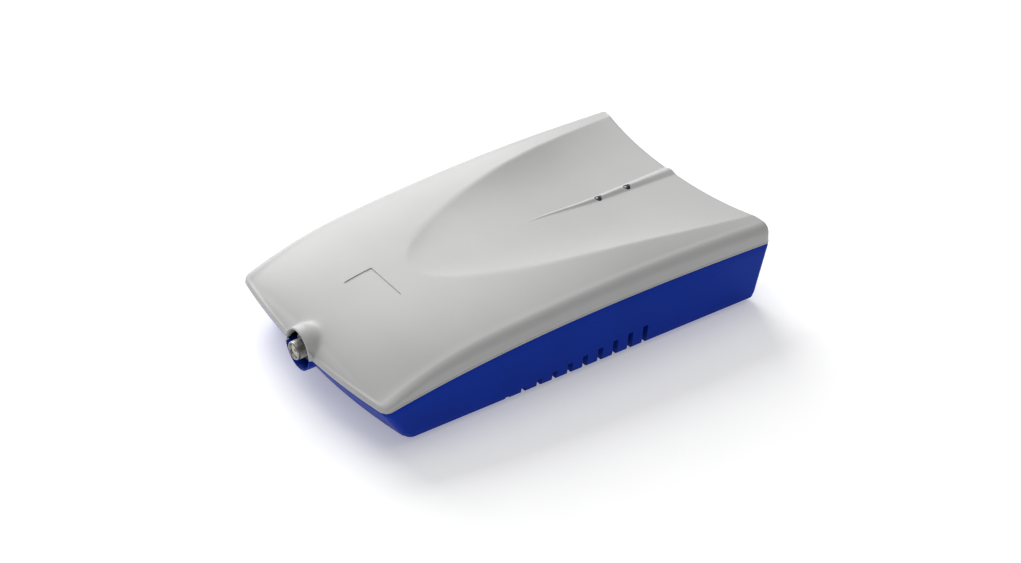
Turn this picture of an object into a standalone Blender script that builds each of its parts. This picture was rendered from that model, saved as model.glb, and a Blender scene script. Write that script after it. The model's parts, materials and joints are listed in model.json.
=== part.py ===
"""Cable modem: two-part plastic case, one coaxial port, board, ports and fasteners.

Lengths below are millimetres in the body's own frame: X runs from the coaxial
end to the indicator end, Y across, Z up from the underside of the blue shell.
One empty carries every part, so that the whole modem stands on Z = 0 with its
bounding box centred on the origin.
"""
import math

import bmesh
import bpy
from mathutils import Matrix, Vector

MM = 0.001
GAP = 0.3                    # clearance left between neighbouring parts

# Case plan
HALF_LENGTH = 110.0          # corner to corner, half
HALF_WIDTH = 67.34
WIDTH_TAPER = 0.03           # the case widens towards the indicator end
FRONT_BOW = 6.15             # front edge bulges outward
BACK_REACH = 1.6             # back corners stand out past the half length
BACK_HOLLOW = 7.1            # back edge curves inward
CORNER_RADIUS = 3.6

# Case heights
SEAM_TERMS = (33.98, 3.99, -6.06, 1.52)      # cubic in x / HALF_LENGTH
SIDE_RISE = 9.2              # rim of the cover above the seam
FRONT_RISE = 1.3             # the same along the front edge
SHOULDER = 4.5               # the rounding of the rim reaches in this far
RIM_DROP = (-54.0, -114.0)   # the rim sinks to the front rise between these
NOSE_START = -72.0           # the crown falls away in front of this
CROWN = 4.5
CROWN_SWELL = 2.8            # extra crown beside the scoop
SWELL_CENTRE = 48.0
SWELL_REACH = 75.0

# Walls
SHELL_WALL = 2.4
COVER_WALL = 2.2
BASE_INSET = 3.8             # side walls lean in towards the base
BASE_FRONT = 13.6            # front wall leans back by this much
BASE_BACK = 4.4

# Scoop in the top
SCOOP_TIP = -53.0
SCOOP_TERMS = (29.5, -0.0536)                # half width squared, from the tip
SCOOP_RISE = 1.2             # the floor climbs from the tip, then falls
SCOOP_RISE_RUN = 45.0
SCOOP_FALL = 2.8
SCOOP_FALL_RUN = 65.0
RIDGE_START = 10.0
RIDGE_END = 112.0
RIDGE_HALF_WIDTH = 4.6
RIDGE_HEIGHT = 1.2

# Label recess in the top
LABEL_X = (-83.2, -68.0)
LABEL_HALF_WIDTH = 13.3
LABEL_DEPTH = 0.5

# Coaxial port
PORT_Z = 23.3
TUNNEL_FRONT = -117.6
TUNNEL_BACK = -105.2
TUNNEL_RADIUS = 10.7
TUNNEL_BORE = 9.3
BULKHEAD_FRONT = -109.2
BARREL_FRONT = -120.0
BARREL_RADIUS = 4.75         # 3/8 inch thread
BARREL_HOLE = 5.1

# Board
BOARD_X = (-98.0, 97.0)
BOARD_HALF_WIDTH = 48.0
BOARD_Z = (14.4, 16.0)
BOARD_TOP = BOARD_Z[1] + GAP                 # underside of the components
BOARD_SCREW_X = (-86.0, 84.0)
BOARD_SCREW_Y = 43.0

# Case screws, posts and feet
POST_X = (-84.0, 92.0)
POST_Y = 55.0
POST_RADIUS = 3.5
POST_FOOT = 8.3              # cover posts end here
SCREW_RADIUS = 1.3
SCREW_HOLE = 1.65
FOOT_X = (-72.0, 82.0)
FOOT_Y = 46.0
FOOT_RADIUS = 5.0
FOOT_DROP = 2.0

# Vents in the side walls
VENT_COUNT = 10
VENT_FIRST = -41.7
VENT_PITCH = 8.8
VENT_WIDTH = 2.8
VENT_LOW = 1.6               # height of the shortest slot
VENT_HIGH = 11.4
VENT_REACH = 9.0             # how far a slot runs in under the base

# Indicators
LIGHT_X = (56.5, 74.4)
LIGHT_Y = -0.6
LIGHT_RADIUS = 1.5

# Back panel
PANEL_X = 102.6              # faces of the sockets
PANEL_CUT_X = 96.3           # openings in the back wall start inside it
JACK_Y = 20.0
JACK_SIZE = (21.0, 16.0, 13.4)
SOCKET_HALF_WIDTH = 5.95
SOCKET_Z = (18.4, 26.4)
SOCKET_DEPTH = 13.5
POWER_Y = -16.0
POWER_Z = 22.0
POWER_BORE = 3.15
RESET_Y = -34.0
RESET_Z = 19.3
RESET_RADIUS = 1.2
RESET_TRAVEL = 0.5


def seam_height(x):
    """Height of the joint between cover and shell."""
    s = max(-1.0, min(1.0, x / HALF_LENGTH))
    return sum(term * s ** power for power, term in enumerate(SEAM_TERMS))


def half_width(x):
    return HALF_WIDTH * (1 + WIDTH_TAPER * x / HALF_LENGTH)


def front_edge(v):
    return -HALF_LENGTH - FRONT_BOW * (1 - v * v)


def back_edge(v):
    return HALF_LENGTH + BACK_REACH - BACK_HOLLOW * (1 - v * v)


def crown(x):
    offset = (x - SWELL_CENTRE) / SWELL_REACH
    swell = math.cos(offset * math.pi / 2) ** 2 if abs(offset) < 1 else 0
    return CROWN + CROWN_SWELL * swell


def dome_height(x, y):
    """Top of the cover before the scoop is cut."""
    v = max(-1.0, min(1.0, y / half_width(x)))
    drop = max(0.0, min(1.0, (x - RIM_DROP[0]) / (RIM_DROP[1] - RIM_DROP[0])))
    rim = FRONT_RISE + (SIDE_RISE - FRONT_RISE) * math.cos(drop * math.pi / 2)
    along = (NOSE_START - x) / (NOSE_START - front_edge(v))
    along = max(0.0, min(1.0, along))
    nose = (1 - along * along) ** 0.6
    middle = FRONT_RISE + nose * (SIDE_RISE - FRONT_RISE + crown(x))
    return seam_height(x) + rim + (middle - rim) * (1 - abs(v) ** 3)


def scoop_half_width(x):
    run = max(0.0, x - SCOOP_TIP)
    return math.sqrt(max(0.0, SCOOP_TERMS[0] * run + SCOOP_TERMS[1] * run * run))


def smooth_step(f):
    f = max(0.0, min(1.0, f))
    return f * f * (3 - 2 * f)


def scoop_centre(x):
    """Height of the scoop floor on the centre line."""
    tip = dome_height(SCOOP_TIP, 0)
    rise = SCOOP_RISE * smooth_step((x - SCOOP_TIP) / SCOOP_RISE_RUN)
    return tip + rise - SCOOP_FALL * smooth_step(x / SCOOP_FALL_RUN)


def scoop_height(x, y):
    """Dished floor that meets the dome along the edge of the scoop."""
    edge = max(scoop_half_width(x), 4.0)
    depth = dome_height(x, 0) - scoop_centre(x)
    if x <= SCOOP_TIP:
        return dome_height(x, y) + GAP
    reach = abs(y) / edge
    if reach > 1:
        return dome_height(x, y) + (reach - 1) * (3 * depth + GAP)
    return dome_height(x, y) - depth * (1 - reach ** 3)


def ridge_half_width(x):
    run = (x - RIDGE_START) / (RIDGE_END - RIDGE_START)
    return RIDGE_HALF_WIDTH * max(0.05, min(1.0, run))


def ridge_height(x):
    run = (x - RIDGE_START) / (RIDGE_END - RIDGE_START)
    return RIDGE_HEIGHT * max(0.0, min(1.0, run * 1.8))


def cover_height(x, y):
    if x > SCOOP_TIP and abs(y) < scoop_half_width(x):
        return min(dome_height(x, y), scoop_height(x, y))
    return dome_height(x, y)


def unit_outline(side_steps=16, front_steps=10, back_steps=6, corner_steps=3):
    """Rounded rectangle in plan fractions: p along the case, v across it."""
    rp = CORNER_RADIUS / (2 * HALF_LENGTH)
    rv = CORNER_RADIUS / HALF_WIDTH
    points = []

    def run(start, end, steps):
        for i in range(steps):
            f = i / steps
            points.append((start[0] + (end[0] - start[0]) * f,
                           start[1] + (end[1] - start[1]) * f))

    def corner(p, v, first_angle):
        for i in range(corner_steps):
            angle = math.radians(first_angle + 90 * i / corner_steps)
            points.append((p + rp * math.cos(angle), v + rv * math.sin(angle)))

    run((rp, -1), (1 - rp, -1), side_steps)
    corner(1 - rp, -1 + rv, -90)
    run((1, -1 + rv), (1, 1 - rv), back_steps)
    corner(1 - rp, 1 - rv, 0)
    run((1 - rp, 1), (rp, 1), side_steps)
    corner(rp, 1 - rv, 90)
    run((0, 1 - rv), (0, -1 + rv), front_steps)
    corner(rp, -1 + rv, 180)
    return points


def plan_ring(outline, height, inset=0.0, front=0.0, back=0.0, scale=1.0):
    """Outline moved inward, with its own leans at the two ends."""
    ring = []
    for p, v in outline:
        p, v = 0.5 + (p - 0.5) * scale, v * scale
        start = front_edge(v) + front + inset
        end = back_edge(v) - back - inset
        x = start + (end - start) * p
        y = v * (half_width(x) - inset)
        ring.append(Vector((x, y, height(x, y))))
    return ring


def blend_rings(low, high, f):
    return [a.lerp(b, f) for a, b in zip(low, high)]


def body_shift():
    """Move along X that centres the modem, from barrel tip to back corners."""
    ring = plan_ring(unit_outline(), lambda x, y: 0.0)
    return -(BARREL_FRONT + max(point.x for point in ring)) / 2


# Scene helpers ------------------------------------------------------------

def clear_scene():
    for item in list(bpy.data.objects):
        bpy.data.objects.remove(item, do_unlink=True)


def new_collection(name):
    collection = bpy.data.collections.new(name)
    bpy.context.scene.collection.children.link(collection)
    return collection


def material(name, color, roughness, metallic=0.0):
    mat = bpy.data.materials.new(name)
    mat.use_nodes = True
    shader = mat.node_tree.nodes["Principled BSDF"]
    shader.inputs["Base Color"].default_value = (*color, 1.0)
    shader.inputs["Roughness"].default_value = roughness
    shader.inputs["Metallic"].default_value = metallic
    mat.diffuse_color = (*color, 1.0)
    return mat


def add_object(name, bm, mat=None, smooth=False, origin=(0, 0, 0)):
    """Turn a bmesh in millimetres into a part, or into a cutter without material."""
    origin = Vector(origin)
    bmesh.ops.translate(bm, verts=bm.verts, vec=-origin)
    bmesh.ops.scale(bm, verts=bm.verts, vec=(MM, MM, MM))
    bmesh.ops.recalc_face_normals(bm, faces=bm.faces)
    mesh = bpy.data.meshes.new(name)
    bm.to_mesh(mesh)
    bm.free()
    for polygon in mesh.polygons:
        polygon.use_smooth = smooth
    item = bpy.data.objects.new(name, mesh)
    item.location = origin * MM
    item.parent = body
    if mat:
        mesh.materials.append(mat)
        parts.objects.link(item)
    else:
        cutters.objects.link(item)
        item.hide_render = True
        item.display_type = "WIRE"
    return item


def boolean(item, cutter, operation="DIFFERENCE"):
    mod = item.modifiers.new(cutter.name, "BOOLEAN")
    mod.operation = operation
    mod.solver = "EXACT"
    mod.object = cutter


def bevel(item, width, segments=2):
    mod = item.modifiers.new("Edges", "BEVEL")
    mod.width = width * MM
    mod.segments = segments
    mod.limit_method = "ANGLE"


def add_box(bm, low, high):
    size = Vector(high) - Vector(low)
    place = Matrix.Translation((Vector(low) + Vector(high)) / 2)
    stretch = Matrix.Diagonal((*size, 1.0))
    bmesh.ops.create_cube(bm, size=1.0, matrix=place @ stretch)


def axis_matrix(axis):
    if axis == "X":
        return Matrix.Rotation(math.pi / 2, 4, "Y")
    if axis == "Y":
        return Matrix.Rotation(-math.pi / 2, 4, "X")
    return Matrix.Identity(4)


def add_rod(bm, start, length, radius, axis="Z", sides=24, turn=0.0):
    """Cylinder or prism from start along the axis."""
    middle = Vector(start) + axis_matrix(axis) @ Vector((0, 0, length / 2))
    place = Matrix.Translation(middle) @ axis_matrix(axis) @ Matrix.Rotation(turn, 4, "Z")
    bmesh.ops.create_cone(bm, cap_ends=True, segments=sides, radius1=radius,
                          radius2=radius, depth=length, matrix=place)


def box_part(name, low, high, mat, edge=0.0):
    bm = bmesh.new()
    add_box(bm, low, high)
    item = add_object(name, bm, mat)
    if edge:
        bevel(item, edge)
    return item


def rod_part(name, start, length, radius, mat, axis="Z", sides=24, edge=0.0):
    bm = bmesh.new()
    add_rod(bm, start, length, radius, axis, sides)
    item = add_object(name, bm, mat, smooth=True, origin=start)
    if edge:
        bevel(item, edge)
    return item


def box_cutter(name, boxes):
    bm = bmesh.new()
    for low, high in boxes:
        add_box(bm, low, high)
    return add_object(name, bm)


def rod_cutter(name, rods):
    bm = bmesh.new()
    for start, length, radius, axis in rods:
        add_rod(bm, start, length, radius, axis)
    return add_object(name, bm)


def turned_part(name, profile, mat, start, axis="Z", steps=24):
    """Profile of (radius, height) pairs, from the top down, spun about its axis."""
    bm = bmesh.new()
    verts = [bm.verts.new((radius * MM, 0, height * MM)) for radius, height in profile]
    for a, b in zip(verts, verts[1:]):
        bm.edges.new((a, b))
    mesh = bpy.data.meshes.new(name)
    bm.to_mesh(mesh)
    bm.free()
    mesh.materials.append(mat)
    item = bpy.data.objects.new(name, mesh)
    item.parent = body
    item.location = Vector(start) * MM
    item.rotation_euler = axis_matrix(axis).to_euler()
    parts.objects.link(item)
    spin = item.modifiers.new("Spin", "SCREW")
    spin.axis = "Z"
    spin.steps = steps
    spin.render_steps = steps
    spin.use_merge_vertices = True
    spin.merge_threshold = 0.00001
    return item


def loft(name, rings, mat):
    """Closed skin through rings that all have the same number of points."""
    bm = bmesh.new()
    rows = [[bm.verts.new(point) for point in ring] for ring in rings]
    count = len(rings[0])
    for low, high in zip(rows, rows[1:]):
        for i in range(count):
            j = (i + 1) % count
            bm.faces.new((low[i], low[j], high[j], high[i]))
    bm.faces.new(rows[0])
    bm.faces.new(rows[-1])
    return add_object(name, bm, mat)


def surface_cutter(name, columns, rows, height, top=70.0):
    """Block above a curved floor; columns gives the Y places for each X in rows."""
    bm = bmesh.new()
    grid = [[bm.verts.new((x, y, height(x, y))) for y in columns(x)] for x in rows]
    for a, b in zip(grid, grid[1:]):
        for i in range(len(a) - 1):
            bm.faces.new((a[i], a[i + 1], b[i + 1], b[i]))
    lid = bmesh.ops.extrude_face_region(bm, geom=bm.faces[:])
    for vert in lid["geom"]:
        if isinstance(vert, bmesh.types.BMVert):
            vert.co.z = top
    return add_object(name, bm)


# Case ---------------------------------------------------------------------

def tunnel_half(name, upper):
    """Half of the round boss that surrounds the coaxial port."""
    split = seam_height(-HALF_LENGTH) + (GAP / 2 if upper else -GAP / 2)
    bm = bmesh.new()
    add_rod(bm, (TUNNEL_FRONT, 0, PORT_Z), TUNNEL_BACK - TUNNEL_FRONT,
            TUNNEL_RADIUS, "X", 40)
    geometry = bm.verts[:] + bm.edges[:] + bm.faces[:]
    bmesh.ops.bisect_plane(bm, geom=geometry, dist=0.0001, plane_co=(0, 0, split),
                           plane_no=(0, 0, 1), clear_outer=not upper,
                           clear_inner=upper)
    rim = [edge for edge in bm.edges if edge.is_boundary]
    bmesh.ops.edgeloop_fill(bm, edges=rim)
    return add_object(name, bm)


def screw_places(xs, half_y):
    return [(x, y) for x in xs for y in (-half_y, half_y)]


def scoop_columns(x):
    """Y places across the scoop, close together over the ridge."""
    wide = 74.0
    narrow = ridge_half_width(x)
    outer = [narrow + (wide - narrow) * f for f in (0.2, 0.4, 0.55, 0.68, 0.82, 1)]
    side = [narrow * 0.2, narrow] + outer
    return [-y for y in reversed(side)] + side


def scoop_floor(x, y):
    inside = max(0.0, 1 - max(0.0, abs(y) / ridge_half_width(x) - 0.2) / 0.8)
    return scoop_height(x, y) + ridge_height(x) * inside


def build_cover(mat):
    outline = unit_outline()

    def seam(x, y):
        return seam_height(x) + GAP / 2

    def part_way(share):
        def height(x, y):
            return seam_height(x) + share * (dome_height(x, y) - seam_height(x))
        return height

    def underside(x, y):
        return cover_height(x, y) - COVER_WALL - 0.3

    outer = [plan_ring(outline, seam),
             plan_ring(outline, part_way(0.5), inset=0.4),
             plan_ring(outline, part_way(0.82), inset=1.7),
             plan_ring(outline, dome_height, inset=SHOULDER)]
    for scale in (0.96, 0.91, 0.83, 0.72, 0.58, 0.42, 0.25, 0.1):
        outer.append(plan_ring(outline, dome_height, inset=SHOULDER, scale=scale))
    inner = [plan_ring(outline, seam, inset=COVER_WALL),
             plan_ring(outline, underside, inset=COVER_WALL + SHOULDER)]
    for scale in (0.93, 0.85, 0.74, 0.58, 0.36, 0.15):
        inner.append(plan_ring(outline, underside, inset=COVER_WALL + SHOULDER,
                               scale=scale))
    cover = loft("top_cover", list(reversed(outer)) + inner, mat)

    lengths = [SCOOP_TIP + 168 * i / 20 for i in range(21)]
    boolean(cover, surface_cutter("scoop_cut", scoop_columns, lengths, scoop_floor))

    def label_floor(x, y):
        return dome_height(x, y) - LABEL_DEPTH

    across = [LABEL_HALF_WIDTH * f for f in (-1, -0.5, 0, 0.5, 1)]
    along = [LABEL_X[0] + (LABEL_X[1] - LABEL_X[0]) * i / 3 for i in range(4)]
    boolean(cover, surface_cutter("label_cut", lambda x: across, along, label_floor))

    boolean(cover, tunnel_half("cover_tunnel", upper=True), "UNION")
    bm = bmesh.new()
    for x, y in screw_places(POST_X, POST_Y):
        top = dome_height(x, y) - 1.7
        add_rod(bm, (x, y, POST_FOOT), top - POST_FOOT, POST_RADIUS)
    boolean(cover, add_object("cover_posts", bm), "UNION")
    pilots = [((x, y, POST_FOOT - 1), 14, SCREW_HOLE, "Z")
              for x, y in screw_places(POST_X, POST_Y)]
    boolean(cover, rod_cutter("post_pilots", pilots))
    boolean(cover, port_bore)
    boolean(cover, port_hole)
    windows = [((x, LIGHT_Y, 30), 30, LIGHT_RADIUS + GAP, "Z") for x in LIGHT_X]
    boolean(cover, rod_cutter("light_windows", windows))
    return cover


def build_shell(mat):
    outline = unit_outline()

    def seam(x, y):
        return seam_height(x) - GAP / 2

    def level(z):
        return lambda x, y: z

    rim = plan_ring(outline, seam)
    foot = plan_ring(outline, level(0), inset=BASE_INSET,
                     front=BASE_FRONT - BASE_INSET, back=BASE_BACK - BASE_INSET)
    pad = plan_ring(outline, level(0), inset=BASE_INSET + 1.8,
                    front=BASE_FRONT - BASE_INSET, back=BASE_BACK - BASE_INSET)
    low = blend_rings(foot, rim, 0.06)
    inner_rim = plan_ring(outline, seam, inset=SHELL_WALL)
    inner_foot = plan_ring(outline, level(SHELL_WALL), inset=BASE_INSET + SHELL_WALL,
                           front=BASE_FRONT - BASE_INSET - 1.2,
                           back=BASE_BACK - BASE_INSET)
    shell = loft("bottom_shell", [pad, low, rim, inner_rim, inner_foot], mat)

    boolean(shell, tunnel_half("shell_tunnel", upper=False), "UNION")
    bm = bmesh.new()
    for x, y in screw_places(POST_X, POST_Y):
        add_rod(bm, (x, y, 1.2), POST_FOOT - GAP - 1.2, POST_RADIUS)
    for x, y in screw_places(BOARD_SCREW_X, BOARD_SCREW_Y):
        add_rod(bm, (x, y, 1.2), BOARD_Z[0] - GAP - 1.2, POST_RADIUS)
    boolean(shell, add_object("shell_bosses", bm), "UNION")
    boolean(shell, port_bore)
    boolean(shell, port_hole)

    half = JACK_SIZE[1] / 2 + GAP
    panel = [((PANEL_CUT_X, JACK_Y - half, BOARD_TOP - GAP),
              (120, JACK_Y + half, BOARD_TOP + JACK_SIZE[2] + GAP))]
    boolean(shell, box_cutter("jack_cut", panel))
    rounds = [((PANEL_CUT_X, POWER_Y, POWER_Z), 24, 4.6, "X"),
              ((PANEL_CUT_X, RESET_Y, RESET_Z), 24, RESET_RADIUS + GAP, "X")]
    boolean(shell, rod_cutter("panel_holes", rounds))

    holes = [((x, y, -1), 12, SCREW_HOLE, "Z") for x, y in screw_places(POST_X, POST_Y)]
    holes += [((x, y, 4), 14, SCREW_HOLE, "Z")
              for x, y in screw_places(BOARD_SCREW_X, BOARD_SCREW_Y)]
    boolean(shell, rod_cutter("screw_holes", holes))
    pockets = [((x, y, -1), 4.0, 3.2, "Z") for x, y in screw_places(POST_X, POST_Y)]
    pockets += [((x, y, -1), 1.6, FOOT_RADIUS + GAP, "Z")
                for x, y in screw_places(FOOT_X, FOOT_Y)]
    boolean(shell, rod_cutter("base_pockets", pockets))

    slots = []
    for side in (-1, 1):
        for i in range(VENT_COUNT):
            x = VENT_FIRST + VENT_PITCH * i
            top = VENT_LOW + (VENT_HIGH - VENT_LOW) * (i / (VENT_COUNT - 1)) ** 0.8
            near = side * (half_width(x) - BASE_INSET - VENT_REACH)
            far = side * (half_width(x) + 4)
            slots.append(((x - VENT_WIDTH / 2, min(near, far), -1),
                          (x + VENT_WIDTH / 2, max(near, far), top)))
    boolean(shell, box_cutter("vent_slots", slots))
    return shell


# Coaxial port -------------------------------------------------------------

def build_port(metal, plastic, contact):
    block = box_part("coax_connector", (TUNNEL_BACK + GAP, -6.5, BOARD_TOP),
                     (-92.5, 6.5, BOARD_TOP + 13.2), metal, edge=0.5)
    bm = bmesh.new()
    add_rod(bm, (BARREL_FRONT, 0, PORT_Z), TUNNEL_BACK + 2 - BARREL_FRONT,
            BARREL_RADIUS, "X", 32)
    boolean(block, add_object("coax_barrel", bm), "UNION")
    boolean(block, rod_cutter("coax_bore",
                              [((BARREL_FRONT - 1, 0, PORT_Z), 11, 3.6, "X")]))
    ring = BARREL_RADIUS + GAP
    turned_part("coax_washer", [(8.6, 0.6), (8.6, 0), (ring, 0), (ring, 0.6), (8.6, 0.6)],
                metal, (BULKHEAD_FRONT - 0.9, 0, PORT_Z), "X", 32)
    bm = bmesh.new()
    add_rod(bm, (BULKHEAD_FRONT - 4.2, 0, PORT_Z), 3.0, 8.2, "X", 6)
    nut = add_object("coax_hex_nut", bm, metal)
    boolean(nut, rod_cutter("nut_bore", [((BULKHEAD_FRONT - 6, 0, PORT_Z), 8, ring, "X")]))
    hole = 1.0
    turned_part("coax_insulator",
                [(3.3, 8.4), (3.3, 0), (hole, 0), (hole, 8.4), (3.3, 8.4)],
                plastic, (BARREL_FRONT + 1.2, 0, PORT_Z), "X", 24)
    rod_part("coax_contact", (BARREL_FRONT + 2.4, 0, PORT_Z), 6.6, 0.65, contact, "X", 16)


# Board and its components -------------------------------------------------

def build_board(mat):
    board = box_part("main_pcb", (BOARD_X[0], -BOARD_HALF_WIDTH, BOARD_Z[0]),
                     (BOARD_X[1], BOARD_HALF_WIDTH, BOARD_Z[1]), mat)
    holes = [((x, y, 10), 10, SCREW_HOLE + 0.05, "Z")
             for x, y in screw_places(BOARD_SCREW_X, BOARD_SCREW_Y)]
    boolean(board, rod_cutter("board_holes", holes))


def build_tuner(metal, chip):
    """Shield frame and lid over the tuner chip, behind the coaxial port."""
    low, high = Vector((-88, -17, BOARD_TOP)), Vector((-46, 17, BOARD_TOP + 5.2))
    wall = Vector((0.8, 0.8, 0))
    frame = box_part("shield_frame", low, high, metal)
    boolean(frame, box_cutter("shield_inside", [(low + wall - Vector((0, 0, 1)),
                                                 high - wall + Vector((0, 0, 1)))]))
    lid = box_part("shield_lid", (low.x - 1.1, low.y - 1.1, high.z - 3.4),
                   (high.x + 1.1, high.y + 1.1, high.z + 1.1), metal)
    hollow = ((low.x - GAP, low.y - GAP, high.z - 6), (high.x + GAP, high.y + GAP, high.z + GAP))
    boolean(lid, box_cutter("lid_inside", [hollow]))
    box_part("tuner_chip", (-71, -4.5, BOARD_TOP), (-62, 4.5, BOARD_TOP + 1.1), chip, 0.15)
    box_part("crystal", (-56, 6, BOARD_TOP), (-51.2, 9.4, BOARD_TOP + 1.2), metal, 0.2)


def build_processor(chip, metal, pad):
    x, y = 2.0, 4.0
    top = BOARD_TOP + 1.6
    box_part("modem_chip", (x - 11, y - 11, BOARD_TOP), (x + 11, y + 11, top), chip, 0.2)
    box_part("thermal_pad", (x - 9.5, y - 9.5, top + GAP), (x + 9.5, y + 9.5, top + GAP + 0.8), pad)
    base = top + 2 * GAP + 0.8
    sink = box_part("heat_sink", (x - 15, y - 15, base), (x + 15, y + 15, base + 11), metal)
    grooves = []
    for i in range(7):
        left = y - 13.3 + 4.0 * i
        grooves.append(((x - 20, left, base + 2), (x + 20, left + 2.4, base + 12)))
    boolean(sink, box_cutter("sink_grooves", grooves))
    box_part("memory_chip", (-31, -4, BOARD_TOP), (-20, 10, BOARD_TOP + 1.2), chip, 0.15)
    box_part("flash_chip", (-4, -30, BOARD_TOP), (4.6, -24, BOARD_TOP + 1.6), chip, 0.15)


def build_power(shell_mat, chip, metal):
    for number, (x, y, radius, height) in enumerate(
            ((68, -30, 5.0, 12.0), (52, -34, 4.0, 11.0), (40, -36, 3.2, 8.0)), start=1):
        rod_part(f"capacitor_{number}", (x, y, BOARD_TOP), height, radius, shell_mat,
                 sides=24, edge=0.4)
    box_part("power_inductor", (50, -24, BOARD_TOP), (60, -14, BOARD_TOP + 5), chip, 1.0)
    box_part("power_regulator", (38, -24, BOARD_TOP), (43.2, -19, BOARD_TOP + 1.5), chip, 0.15)
    box_part("ethernet_transformer", (58, 12, BOARD_TOP), (73, 27, BOARD_TOP + 5.6), chip, 0.3)


# Back panel ---------------------------------------------------------------

def build_ethernet(metal, contact):
    length, width, height = JACK_SIZE
    back = PANEL_X - length
    jack = box_part("ethernet_jack", (back, JACK_Y - width / 2, BOARD_TOP),
                    (PANEL_X, JACK_Y + width / 2, BOARD_TOP + height), metal)
    mouth = PANEL_X - SOCKET_DEPTH
    low_z, high_z = SOCKET_Z
    boolean(jack, box_cutter("socket_cut", [
        ((mouth, JACK_Y - SOCKET_HALF_WIDTH, low_z),
         (PANEL_X + 2, JACK_Y + SOCKET_HALF_WIDTH, high_z))]))
    boolean(jack, box_cutter("latch_cut", [
        ((mouth + 3, JACK_Y - 3.1, high_z - 1), (PANEL_X + 2, JACK_Y + 3.1, high_z + 1.9))]))
    bm = bmesh.new()
    add_box(bm, (mouth + GAP, JACK_Y - 5.2, low_z + GAP),
            (mouth + 2.2, JACK_Y + 5.2, high_z - 2.2))
    row = add_object("ethernet_contacts", bm, contact)
    bm = bmesh.new()
    for i in range(8):
        y = JACK_Y - 3.57 + 1.02 * i
        add_box(bm, (mouth + 1.5, y - 0.25, low_z + 0.8), (mouth + 5.0, y + 0.25, low_z + 1.6))
    boolean(row, add_object("contact_springs", bm), "UNION")


def build_power_jack(plastic, contact):
    jack = box_part("power_jack", (PANEL_X - 13.5, POWER_Y - 4.5, BOARD_TOP),
                    (PANEL_X - 4.2, POWER_Y + 4.5, BOARD_TOP + 11), plastic, 0.3)
    bm = bmesh.new()
    add_rod(bm, (PANEL_X - 6, POWER_Y, POWER_Z), 6, 4.2, "X", 32)
    boolean(jack, add_object("power_barrel", bm), "UNION")
    boolean(jack, rod_cutter("power_bore",
                             [((PANEL_X - 9.5, POWER_Y, POWER_Z), 12, POWER_BORE, "X")]))
    rod_part("power_pin", (PANEL_X - 9.2, POWER_Y, POWER_Z), 8.4, 1.05, contact, "X", 16)


def build_reset(plastic, metal):
    """Tact switch with a plunger that is pressed in through the back panel."""
    stem = 84.0
    box_part("reset_switch", (stem - 5.2, RESET_Y - 3, BOARD_TOP),
             (stem, RESET_Y + 3, BOARD_TOP + 6.0), metal, 0.3)
    rod_part("reset_button", (stem + RESET_TRAVEL + GAP, RESET_Y, RESET_Z),
             PANEL_X - 0.4 - stem - RESET_TRAVEL - GAP, RESET_RADIUS, plastic, "X", 20)


def build_lights(lens, led):
    for name, x in zip(("power", "online"), LIGHT_X):
        top = scoop_height(x, LIGHT_Y) + ridge_height(x) - 0.2
        box_part(f"led_{name}", (x - 1.6, LIGHT_Y - 0.8, BOARD_TOP),
                 (x + 1.6, LIGHT_Y + 0.8, BOARD_TOP + 0.8), led, 0.1)
        foot = BOARD_TOP + 0.8 + GAP
        collar = scoop_height(x, LIGHT_Y) - COVER_WALL - 2.2 - foot
        turned_part(f"light_pipe_{name}",
                    [(0, top - foot), (LIGHT_RADIUS, top - foot), (LIGHT_RADIUS, collar),
                     (2.6, collar), (2.6, collar - 1.2), (LIGHT_RADIUS, collar - 1.2),
                     (LIGHT_RADIUS, 0), (0, 0)], lens, (x, LIGHT_Y, foot), "Z", 20)


# Fasteners, feet and base label -------------------------------------------

def build_fasteners(metal):
    for number, (x, y) in enumerate(screw_places(BOARD_SCREW_X, BOARD_SCREW_Y), start=1):
        under = BOARD_Z[1] + GAP
        turned_part(f"pcb_screw_{number}",
                    [(0, 2.0), (1.6, 2.0), (2.7, 1.2), (2.7, 0), (SCREW_RADIUS, 0),
                     (SCREW_RADIUS, -9.0), (0, -9.8)], metal, (x, y, under), "Z", 16)
    for number, (x, y) in enumerate(screw_places(POST_X, POST_Y), start=1):
        turned_part(f"case_screw_{number}",
                    [(0, 13.5), (SCREW_RADIUS, 12.7), (SCREW_RADIUS, 2.2), (2.7, 2.2),
                     (2.7, 0.8), (1.7, 0.0), (0, 0.0)], metal, (x, y, 0.5), "Z", 16)


def build_feet(rubber):
    for number, (x, y) in enumerate(screw_places(FOOT_X, FOOT_Y), start=1):
        turned_part(f"rubber_foot_{number}",
                    [(0, 2.3), (FOOT_RADIUS, 2.3), (FOOT_RADIUS, 0.5),
                     (FOOT_RADIUS - 0.5, 0), (0, 0)], rubber, (x, y, -FOOT_DROP), "Z", 24)


def build_rating_label(paper):
    box_part("rating_label", (-34, -22, -0.5), (30, 22, -GAP), paper)


clear_scene()
parts = new_collection("cable_modem")
cutters = new_collection("cutters")
body = bpy.data.objects.new("modem_body", None)
body.location = (body_shift() * MM, 0, FOOT_DROP * MM)
parts.objects.link(body)

port_bore = rod_cutter("port_bore", [((TUNNEL_FRONT - 4, 0, PORT_Z),
                                      BULKHEAD_FRONT - TUNNEL_FRONT + 4, TUNNEL_BORE, "X")])
port_hole = rod_cutter("port_hole", [((BULKHEAD_FRONT - 2, 0, PORT_Z), 8, BARREL_HOLE, "X")])

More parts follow.
